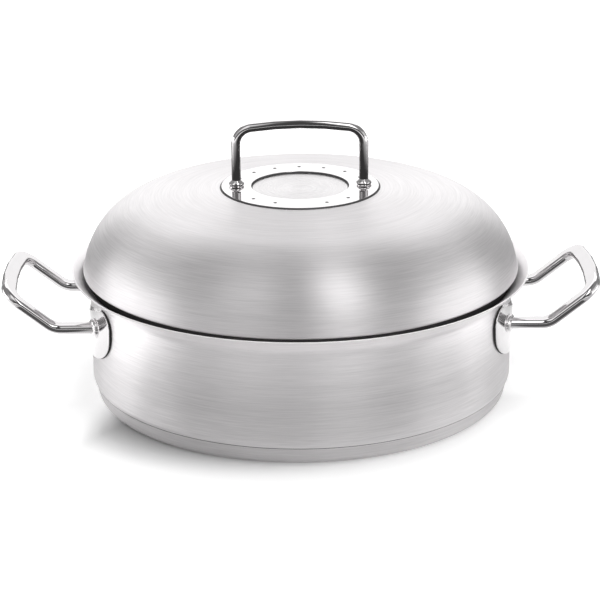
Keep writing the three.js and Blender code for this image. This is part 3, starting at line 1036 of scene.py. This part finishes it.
dot_wires, dot_inputs = geometry_tree(
    "etched dots", Count="Int", Circle="Float", Size="Float", Height="Float", Finish="Material"
)
circle = dot_wires.node(
    "GeometryNodeMeshCircle",
    sockets={"Vertices": dot_inputs["Count"], "Radius": dot_inputs["Circle"]},
)
_, dot_y, _ = dot_wires.node("GeometryNodeInputPosition").axes()
beside_feet = dot_wires.math("GREATER_THAN", dot_wires.math("ABSOLUTE", dot_y), DOT_RADIUS)
not_front = dot_wires.math("GREATER_THAN", dot_y, DOT_RADIUS - DOT_CIRCLE)
dot = dot_wires.node(
    "GeometryNodeMeshCone",
    sockets={
        "Vertices": DOT_SIDES,
        "Radius Top": dot_inputs["Size"],
        "Radius Bottom": dot_inputs["Size"],
        "Depth": dot_inputs["Height"],
    },
)
dots = dot_wires.node(
    "GeometryNodeInstanceOnPoints",
    sockets={"Points": circle, "Selection": beside_feet * not_front, "Instance": dot},
)
lifted = dot_wires.node(
    "GeometryNodeTransform", sockets={"Geometry": dots, "Translation": (0, 0, ring_top)}
)
close_tree(dot_wires, lifted, dot_inputs["Finish"])
dots_mesh = grow(
    dot_wires.tree,
    bpy.data.meshes.new("dots"),
    Count=DOT_COUNT,
    Circle=DOT_CIRCLE,
    Size=DOT_RADIUS,
    Height=DOT_HEIGHT,
    Finish=etched,
)
place("ring_dots", finish_mesh(dots_mesh, []), "lid", "polished_steel")

# %% [markdown]
# ## The studio
#
# The background is plain white, as in a catalogue. A white world gives it, and lights matt surfaces
# with only a part of that white, so that shadows stay. A white sheet as the floor would turn grey
# round the pan, so the floor is matt with a faint glow of its own. The glow starts a little way
# off and leaves out the place on the left and in front where the photo keeps a shadow.


# %% Paint helpers
def bare_paint(name):
    """A material without nodes, and its tree as a wire."""
    paint = bpy.data.materials.new(name)
    paint.use_nodes = True
    paint.node_tree.nodes.clear()
    return paint, Wire(paint.node_tree)


def cover_with(mesh, paint, shader):
    """Makes a shader the look of a paint, and the paint that of a mesh."""
    end = shader.tree.nodes.new("ShaderNodeOutputMaterial")
    shader.tree.links.new(shader.socket, end.inputs["Surface"])
    mesh.materials.append(paint)


def seen_rays(wires):
    """1 for rays that show the background itself: straight, mirrored or through glass."""
    rays = wires.tree.nodes.new("ShaderNodeLightPath")
    kinds = ("Is Camera Ray", "Is Glossy Ray", "Is Transmission Ray")
    camera, glossy, through = (Wire(wires.tree, rays.outputs[kind]) for kind in kinds)
    return wires.math("MAXIMUM", camera, wires.math("MAXIMUM", glossy, through))


# %% Floor
FLOOR_HALF = 6.0
FLOOR_TONE = (0.8, 0.8, 0.8, 1)
# Glow beside the pan, on the left and far away, and the distances over which each sets in.
FLOOR_GLOW = 0.4
LEFT_GLOW = 0.6
FAR_GLOW = 0.3
FLOOR_UNDER = (0.11, 0.16)
FLOOR_LEFT = (0.39, 0.52)
FLOOR_AWAY = (0.3, 0.8)
# The middle of the shadow lies a little to the left, and its left edge runs at a slant.
SHADOW_SHIFT = (0.03, 0.0, 0.0)
LEFT_WAY = (-4.0, 1.0, 0.0)

floor_mesh = bpy.data.meshes.new("studio_floor")
corner_signs = ((-1, -1), (1, -1), (1, 1), (-1, 1))
floor_corners = [(x * FLOOR_HALF, y * FLOOR_HALF, 0) for x, y in corner_signs]
floor_mesh.from_pydata(floor_corners, [], [(0, 1, 2, 3)])
floor = add("studio_floor", floor_mesh)
floor_paint, floor_wires = bare_paint("studio floor")
matt = floor_wires.node("ShaderNodeBsdfDiffuse", sockets={"Color": FLOOR_TONE})
where = floor_wires.node("ShaderNodeTexCoord", out="Object")
moved = floor_wires.node("ShaderNodeVectorMath", {"operation": "ADD"}, {0: where, 1: SHADOW_SHIFT})
away = floor_wires.node("ShaderNodeVectorMath", {"operation": "LENGTH"}, {0: moved}, out="Value")
slant = floor_wires.node(
    "ShaderNodeVectorMath", {"operation": "DOT_PRODUCT"}, {0: where, 1: LEFT_WAY}, out="Value"
)
beside = away.ease(*FLOOR_UNDER) * FLOOR_GLOW
left_side = slant.ease(*FLOOR_LEFT) * LEFT_GLOW
level = floor_wires.math("MAXIMUM", beside, left_side) + away.ease(*FLOOR_AWAY) * FAR_GLOW
unlit = floor_wires.node("ShaderNodeEmission", sockets={"Strength": 0.0})
white = floor_wires.node("ShaderNodeEmission", sockets={"Strength": 1.0})
glow = floor_wires.node("ShaderNodeMixShader", sockets={0: level, 1: unlit, 2: white})
lit = floor_wires.node("ShaderNodeAddShader", sockets={0: matt, 1: glow})
shown = floor_wires.node(
    "ShaderNodeMixShader", sockets={0: seen_rays(floor_wires), 1: matt, 2: lit}
)
cover_with(floor_mesh, floor_paint, shown)
print("floor in m:", 2 * FLOOR_HALF)

# %% World
FILL = 0.35

world = bpy.data.worlds.new("studio")
bpy.context.scene.world = world
world.use_nodes = True
world_wires = Wire(world.node_tree)
background = world.node_tree.nodes["Background"]
background.inputs["Color"].default_value = (1, 1, 1, 1)
world_level = seen_rays(world_wires) * (1 - FILL) + FILL
world.node_tree.links.new(world_level.socket, background.inputs["Strength"])
bpy.context.scene.view_settings.view_transform = "Standard"
print("world light on matt surfaces:", FILL)

# %% [markdown]
# ## Flags and lamps
#
# Steel has no colour of its own: it shows the room. A photographer gives it shape with cards, and
# so does this studio: a dim dome stands for the room, bright strips draw the long streaks on the
# lid, dark flags the dark lines on bars and edges, and cloths on the floor the grey of the wall.
# Plain sheets would throw shadows and stand in the picture, so each glows, thins out at its edges,
# and shows in reflections only, from its inner or upper side. The lamps behind the pan and at its
# sides are only mirrored, and the one above it only lights the floor.

# %% Places of the flags
CLOTH_LIFT = 0.5 * MM


def dome_spot(azimuth, elevation):
    """A place on the studio's dome. Angles are in degrees, with azimuth 0 on the camera's side."""
    a, e = math.radians(azimuth), math.radians(elevation)
    return Vector((math.cos(e) * math.sin(a), -math.cos(e) * math.cos(a), math.sin(e)))


def floor_spot(azimuth, radius):
    """A point just above the floor."""
    a = math.radians(azimuth)
    return Vector((radius * math.sin(a), -radius * math.cos(a), CLOTH_LIFT))


def crown_spot(azimuth, radius):
    """A point just above the lid's crown."""
    a = math.radians(azimuth)
    crown = crown_centre.y + math.sqrt(CROWN_RADIUS**2 - radius**2)
    height = max(crown, ring_top) + CLOTH_LIFT
    return Vector((radius * math.sin(a), -radius * math.cos(a), height))


def handle_spot(side, front):
    """A point just above the floor's cloths, by its place across and towards the camera."""
    return Vector((side, -front, 2 * CLOTH_LIFT))


# %% The flag
FLAG_STEPS = 24


def flag(name, spot, reach, span, rise, tone, side_fade=0.0, low_fade=0.0, high_fade=0.0):
    """A soft cloth that only reflections see, from its inner or upper side.

    Span and rise are the two ranges that its spots run through, and reach is a factor on its
    distance. A fade is the share over which an edge thins out.
    """
    vertices = [
        spot(across, up) * reach
        for up in np.linspace(*rise, FLAG_STEPS + 1)
        for across in np.linspace(*span, FLAG_STEPS + 1)
    ]
    width = FLAG_STEPS + 1
    faces, marks = [], []
    for row in range(FLAG_STEPS):
        for i in range(FLAG_STEPS):
            here = row * width + i
            corners = (here, here + width, here + width + 1, here + 1)
            faces.append(corners)
            marks += [((c % width) / FLAG_STEPS, (c // width) / FLAG_STEPS) for c in corners]
    mesh = bpy.data.meshes.new(name)
    mesh.from_pydata(vertices, [], faces)
    layer = mesh.uv_layers.new(name="card")
    layer.data.foreach_set("uv", [number for mark in marks for number in mark])
    paint, wires = bare_paint(name)
    across, up, _ = wires.node("ShaderNodeUVMap", {"uv_map": "card"}).axes()
    cover = 1 - wires.node("ShaderNodeNewGeometry", out="Backfacing")
    edges = ((across, side_fade), (1 - across, side_fade), (up, low_fade), (1 - up, high_fade))
    for share, fade in edges:
        if fade:
            cover = cover * share.ease(0.0, fade)
    clear = wires.node("ShaderNodeBsdfTransparent")
    cloth = wires.node("ShaderNodeEmission", sockets={"Strength": tone})
    mixed = wires.node("ShaderNodeMixShader", sockets={0: cover, 1: clear, 2: cloth})
    cover_with(mesh, paint, mixed)
    card = add(name, mesh)
    card.visible_camera = False
    card.visible_diffuse = False
    card.visible_shadow = False
    print(f"{name}: span {span}, rise {rise}, tone {tone}")


# %% Flags and cloths
# Each flag: placing, reach, span, rise, tone, then the fades of its sides, foot and top.
flag("studio_room", dome_spot, 4.0, (-180, 180), (0.5, 90), 0.32)
flag("left_wall", dome_spot, 3.6, (-84, -30), (10, 42), 0.6, 0.25, 0.15, 0.4)
flag("right_wall", dome_spot, 3.6, (36, 116), (10, 30), 0.9, 0.25, 0.15, 0.4)
flag("zenith_flag", dome_spot, 3.4, (-180, 180), (70, 90), 0.2, 0.0, 0.4, 0.0)
flag("front_flag", dome_spot, 3.2, (-58, 58), (0.5, 24), 0.08, 0.25, 0.0, 0.5)
flag("centre_flag", dome_spot, 3.0, (-14, 14), (0.5, 80), 0.08, 0.4)
flag("right_strip", dome_spot, 2.6, (7, 43), (24, 78), 3.5, 0.35, 0.15, 0.15)
flag("left_strip", dome_spot, 2.6, (-62, -6), (24, 76), 1.3, 0.3, 0.15, 0.2)
flag("floor_cloth", floor_spot, 1.0, (-85, 105), (0.16, 1.3), 0.68, 0.2, 0.02, 0.4)
flag("back_cloth", floor_spot, 1.0, (100, 260), (0.18, 1.6), 0.15, 0.15, 0.1, 0.2)
flag("lid_flag", crown_spot, 1.0, (-180, 180), (0.0, 0.16), 0.05, 0.3, 0.0, 0.6)
flag("left_cloth", handle_spot, 1.0, (-0.27, -0.148), (0.075, 0.36), 0.12, 0.12, 0.06, 0.2)
flag("right_cloth", handle_spot, 1.0, (0.148, 0.27), (0.075, 0.36), 0.12, 0.12, 0.06, 0.2)


# %% Lamps
def softbox(name, azimuth, elevation, distance, size, level, mirrored=True):
    """A flat lamp that faces the pan. It is either mirrored in the steel or lights the floor."""
    lamp = bpy.data.lights.new(name, "AREA")
    lamp.shape = "RECTANGLE"
    lamp.size, lamp.size_y = size
    lamp.energy = level * math.pi * size[0] * size[1]
    box = add(name, lamp)
    back = dome_spot(azimuth, elevation)
    box.location = back * distance
    box.rotation_euler = back.to_track_quat("Z", "Y").to_euler()
    box.visible_camera = False
    box.visible_glossy = mirrored
    box.visible_diffuse = not mirrored
    print(f"{name}: {lamp.energy:.1f} W")


# Each lamp: azimuth, elevation, distance, size and level.
softbox("key_softbox", 95, 80, 2.2, (1.3, 1.3), 6.7, mirrored=False)
softbox("back_softbox", 180, 45, 2.0, (2.2, 1.2), 1.45)
softbox("low_back_softbox", 180, 15.5, 2.0, (2.2, 0.9), 1.0)
softbox("left_softbox", -94, 7, 1.9, (1.8, 0.45), 2.8)
softbox("right_softbox", 84, 7, 1.9, (1.6, 0.45), 2.6)

# %% [markdown]
# ## The camera
#
# A long lens from a little above the rim, as in a catalogue picture. The place comes from the
# circles of the rim, lid and base in the photograph: they give the height of the view, its
# distance and a slight tilt of the picture.

# %% Camera
LENS = 120.0
SENSOR = 36.0
VIEW_DISTANCE = 1.354
VIEW_RISE = 0.3454
VIEW_TURN = math.radians(0.8)
VIEW_TILT = 0.007
VIEW_HEIGHT = 59.36 * MM
VIEW_SHIFT = -0.0015

camera = bpy.data.cameras.new("camera")
camera.lens = LENS
camera.sensor_width = SENSOR
camera.shift_x = VIEW_SHIFT
viewer = add("camera", camera)
back = Vector(
    (
        -math.cos(VIEW_RISE) * math.sin(VIEW_TURN),
        -math.cos(VIEW_RISE) * math.cos(VIEW_TURN),
        math.sin(VIEW_RISE),
    )
)
viewer.location = Vector((0, 0, VIEW_HEIGHT)) + back * VIEW_DISTANCE
upright = (-back).to_track_quat("-Z", "Y").to_matrix()
viewer.rotation_euler = (upright @ Matrix.Rotation(-VIEW_TILT, 3, "Z")).to_euler()
bpy.context.scene.camera = viewer
print("camera in m:", [round(x, 3) for x in viewer.location])
